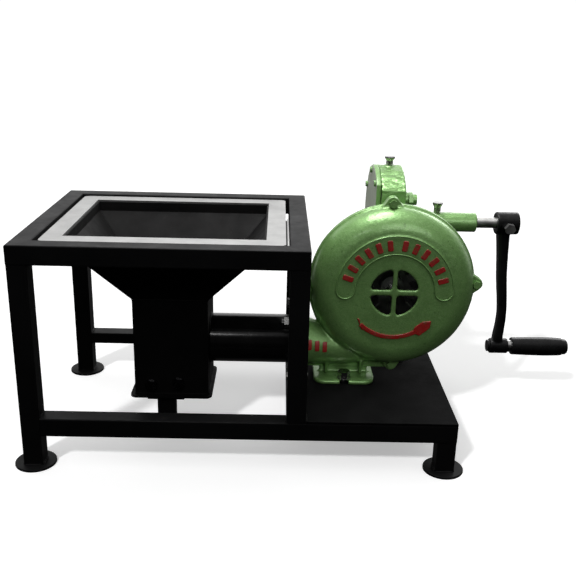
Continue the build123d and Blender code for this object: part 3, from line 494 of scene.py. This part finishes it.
bm = bmesh.new()
CX0, CX1, CY0, CY1 = 132, 236, 102, 194
for z, r in ((202, 0.0015), (60.4, 0.0016)):
    weld(bm, (CX0, CY0, z), (CX1, CY0, z), r, seed=1.3 + z)
    weld(bm, (CX0, CY1, z), (CX1, CY1, z), r, seed=2.3 + z)
    weld(bm, (CX0, CY0, z), (CX0, CY1, z), r, seed=3.3 + z)
    weld(bm, (CX1, CY0, z), (CX1, CY1, z), r, seed=4.3 + z)
weld_ring(bm, 236.3, 148.0, 130.3, 35.0)
weld_ring(bm, 351.8, 148.0, 130.3, 35.0, 0.0014)
piece("pot_welds", bm, "pot_black", "stand")

# the rounded border of the band on the cover's face
bm = bmesh.new()
path = []
ro, ri, rc = 81.2, 55.8, 68.5
for i in range(121):
    a = math.radians(3 + 174 * i / 120)
    path.append((ro * math.cos(a), ro * math.sin(a)))
ce, cs = math.radians(177), math.radians(3)
for i in range(1, 20):
    a = ce + math.pi * i / 20
    path.append((rc * math.cos(ce) + 12.7 * math.cos(a), rc * math.sin(ce) + 12.7 * math.sin(a)))
for i in range(101):
    a = math.radians(177 - 174 * i / 100)
    path.append((ri * math.cos(a), ri * math.sin(a)))
for i in range(1, 20):
    a = cs + math.pi + math.pi * i / 20
    path.append((rc * math.cos(cs) + 12.7 * math.cos(a), rc * math.sin(cs) + 12.7 * math.sin(a)))
pts = [W(493 + x, 109.1, 216 + z) for x, z in path]
sweep_path(bm, pts, lambda i: 0.00105 + 0.00018 * noise.noise(Vector((i * 0.15, 0, 0))), True)
piece("band_border", bm, "blower_green", "stand")

# ---------------------------------------------------------------- camera
YAW, PITCH, ROLL = 0.015398, 0.329038, 0.025497
fwd = Vector((math.sin(YAW) * math.cos(PITCH), math.cos(YAW) * math.cos(PITCH), -math.sin(PITCH)))
r0 = Vector((math.cos(YAW), -math.sin(YAW), 0))
u0 = r0.cross(fwd)
right = r0 * math.cos(ROLL) + u0 * math.sin(ROLL)
upv = -r0 * math.sin(ROLL) + u0 * math.cos(ROLL)
cd = bpy.data.cameras.new("camera")
cam = bpy.data.objects.new("camera", cd)
scene.collection.objects.link(cam)
cd.sensor_width, cd.lens = 36.0, 49.48
cd.clip_start, cd.clip_end = 0.05, 30
mw = Matrix((
    (right.x, upv.x, -fwd.x, 0), (right.y, upv.y, -fwd.y, 0), (right.z, upv.z, -fwd.z, 0), (0, 0, 0, 1)))
cam.matrix_world = Matrix.Translation(W(329.94, -919.84, 572.19)) @ mw
scene.camera = cam

# ---------------------------------------------------------------- floor and light
fm = bpy.data.meshes.new("floor")
s = 14.0
fm.from_pydata([(-s, -s, 0), (s, -s, 0), (s, s, 0), (-s, s, 0)], [], [(0, 1, 2, 3)])
floor = bpy.data.objects.new("floor", fm)
scene.collection.objects.link(floor)
rings = []
bm = bmesh.new()
for i in range(13):
    a = math.radians(90 * i / 12)
    rad, zz = 9.0 + 3.0 * math.sin(a), 0.0005 + 3.0 * (1 - math.cos(a))
    rings.append([bm.verts.new((rad * math.cos(math.radians(5 * k)), rad * math.sin(math.radians(5 * k)), zz)) for k in range(72)])
for a, b in zip(rings, rings[1:]):
    for k in range(72):
        bm.faces.new((a[k], a[(k + 1) % 72], b[(k + 1) % 72], b[k]))
cm = bpy.data.meshes.new("backdrop")
bm.to_mesh(cm)
bm.free()
cm.polygons.foreach_set("use_smooth", [True] * len(cm.polygons))
cove = bpy.data.objects.new("backdrop", cm)
scene.collection.objects.link(cove)
m = Mat("floor_pale", Specular_IOR_Level=0.0)
m.b.inputs["Roughness"].default_value = 1.0
m.b.inputs["Base Color"].default_value = (0.90, 0.90, 0.90, 1)
m.b.inputs["Emission Color"].default_value = (1.0, 1.0, 1.0, 1)
m.b.inputs["Emission Strength"].default_value = 0.40
floor.data.materials.append(m.m)
m = Mat("backdrop_pale", Specular_IOR_Level=0.0)
m.b.inputs["Roughness"].default_value = 1.0
m.b.inputs["Base Color"].default_value = (0.0, 0.0, 0.0, 1)
m.b.inputs["Emission Color"].default_value = (1.0, 1.0, 1.0, 1)
m.b.inputs["Emission Strength"].default_value = 1.05
cove.data.materials.append(m.m)
for o in (floor, cove):
    o.visible_diffuse = False
    o.visible_glossy = False
cove.visible_shadow = False

# world: white behind and above, dark in front and below
world = bpy.data.worlds.new("studio")
scene.world = world
world.use_nodes = True
nt = world.node_tree
bg = nt.nodes["Background"]
tc = nt.nodes.new("ShaderNodeTexCoord")
sp = nt.nodes.new("ShaderNodeSeparateXYZ")
nt.links.new(tc.outputs["Generated"], sp.inputs[0])


def wrange(src, a, b, c, d, smooth=True):
    n = nt.nodes.new("ShaderNodeMapRange")
    n.interpolation_type = "SMOOTHSTEP" if smooth else "LINEAR"
    for k, v in zip(("From Min", "From Max", "To Min", "To Max"), (a, b, c, d)):
        n.inputs[k].default_value = v
    nt.links.new(src, n.inputs["Value"])
    return n.outputs["Result"]


def wmath(op, a, b):
    n = nt.nodes.new("ShaderNodeMath")
    n.operation = op
    for i, v in enumerate((a, b)):
        if isinstance(v, (int, float)):
            n.inputs[i].default_value = v
        else:
            nt.links.new(v, n.inputs[i])
    return n.outputs[0]


back = wrange(sp.outputs["Y"], -0.15, 0.75, 0.035, 1.0)
above = wrange(sp.outputs["Z"], -0.22, 0.05, 0.05, 1.0)
top = wrange(sp.outputs["Z"], 0.35, 0.95, 0.0, 0.65)
lvl = wmath("MULTIPLY", wmath("MAXIMUM", back, top), above)
nt.links.new(lvl, bg.inputs["Strength"])
bg.inputs[0].default_value = (1.0, 1.0, 1.0, 1)


def area(name, loc, target, size, power, sy=None, color=(1, 1, 1), spec=1.0):
    d = bpy.data.lights.new(name, "AREA")
    d.shape = "RECTANGLE"
    d.size, d.size_y = size, sy or size
    d.energy = power
    d.color = color
    d.specular_factor = spec
    o = bpy.data.objects.new(name, d)
    scene.collection.objects.link(o)
    o.location = loc
    o.rotation_mode = "QUATERNION"
    o.rotation_quaternion = (Vector(target) - Vector(loc)).to_track_quat("-Z", "Y")
    return o


# the soft boxes light the object alone, so that the floor stays an even pale tone
off_floor = bpy.data.collections.new("off_floor")
off_floor.objects.link(floor)
for box_light in (
    area("key_top", (-0.08, 0.00, 1.42), (0.03, 0.0, 0.25), 0.80, 17.5, 0.48),
    area("front_left", (-0.41, -1.26, 1.02), (-0.18, 0.0, 0.13), 0.44, 1.3, 0.10),
    area("rim_back", (0.9, 1.3, 1.0), (0.1, 0.0, 0.2), 0.8, 6.0, 0.6),
):
    box_light.light_linking.receiver_collection = off_floor
    off_floor.collection_objects[0].light_linking.link_state = "EXCLUDE"

sd = bpy.data.lights.new("sun", "SUN")
sd.energy = 1.75
sd.angle = math.radians(5)
sd.specular_factor = 0.3
sun = bpy.data.objects.new("sun", sd)
scene.collection.objects.link(sun)
sun.rotation_mode = "QUATERNION"
sun.rotation_quaternion = Vector((0.40, 0.62, -0.68)).to_track_quat("-Z", "Y")
on_floor = bpy.data.collections.new("on_floor")
on_floor.objects.link(floor)
sun.light_linking.receiver_collection = on_floor

# a soft fill from the front that reaches the green castings and their marks alone
on_green = bpy.data.collections.new("on_green")
GREENS = {MATS[k].name for k in ("blower_green", "cover_grey", "mark_red")}
for o in scene.objects:
    if o.type == "MESH" and o.data.materials and o.data.materials[0] and o.data.materials[0].name in GREENS:
        on_green.objects.link(o)
fill = area("front_fill", (0.55, -1.75, 1.15), (0.08, 0.0, 0.2), 1.10, 9.5, 0.8, spec=0.5)
fill.light_linking.receiver_collection = on_green

scene.view_settings.view_transform = "Standard"
